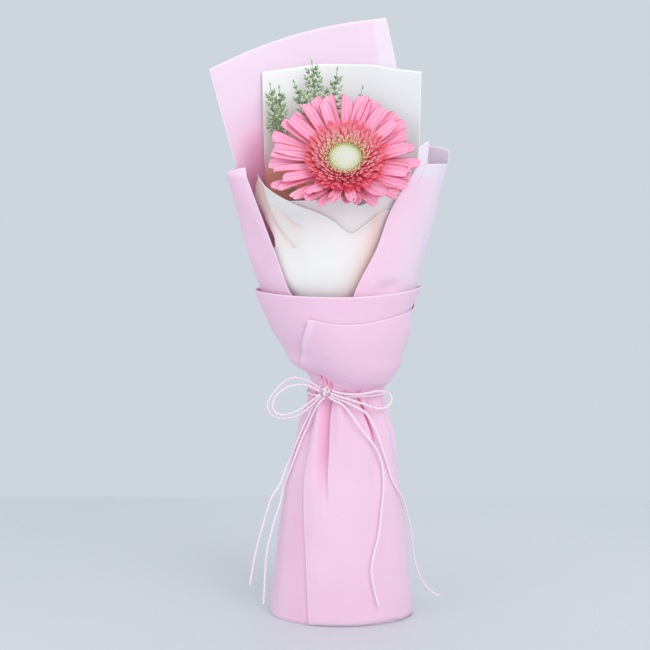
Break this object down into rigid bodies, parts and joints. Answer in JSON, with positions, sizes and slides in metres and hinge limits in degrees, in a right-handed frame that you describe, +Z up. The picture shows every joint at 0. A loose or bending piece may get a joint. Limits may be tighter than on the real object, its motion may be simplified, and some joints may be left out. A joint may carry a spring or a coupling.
{
  "type": "paper-wrapped cut gerbera",
  "caption": "Cut gerbera with fern sprigs, wrapped in layered paper gathered by a twine bow, standing upright on the wrap's flared hollow foot.",
  "frame": {"origin": "on the surface that the bouquet stands on, under the middle of the flower and its papers, the twine left out", "axes": "+Z up, along the stem; -Y towards the front, the way the flower faces and the bow is tied; +X to the right of someone who looks at the front"},
  "size_m": [0.1758, 0.109, 0.441],
  "materials": {
    "pink_paper": "matte",
    "white_paper": "matte",
    "petal_pink": "satin",
    "floret_coral": "matte",
    "disc_green": "matte",
    "stem_green": "satin",
    "sprig_green": "matte",
    "twine_white": "matte"
  },
  "bodies": {
    "root": {"pink_outer_wrap": "pink_paper", "pink_side_wrap": "pink_paper", "pink_back_sheet": "pink_paper", "white_back_sheet": "white_paper", "white_inner_wrap": "white_paper", "white_front_wrap": "white_paper", "gerbera_stem": "stem_green", "gerbera_ray_petals": "petal_pink", "gerbera_trans_florets": "floret_coral", "gerbera_disc": "disc_green", "fern_sprig_left": "sprig_green", "fern_sprig_centre": "sprig_green", "twine_knot": "twine_white", "twine_waist_turn": "twine_white", "twine_left_loop_outer": "twine_white", "twine_left_loop_inner": "twine_white", "twine_right_loop": "twine_white", "twine_tail_left_outer": "twine_white", "twine_tail_left_inner": "twine_white", "twine_tail_right_inner": "twine_white", "twine_tail_right_outer": "twine_white"}
  },
  "joints": []
}
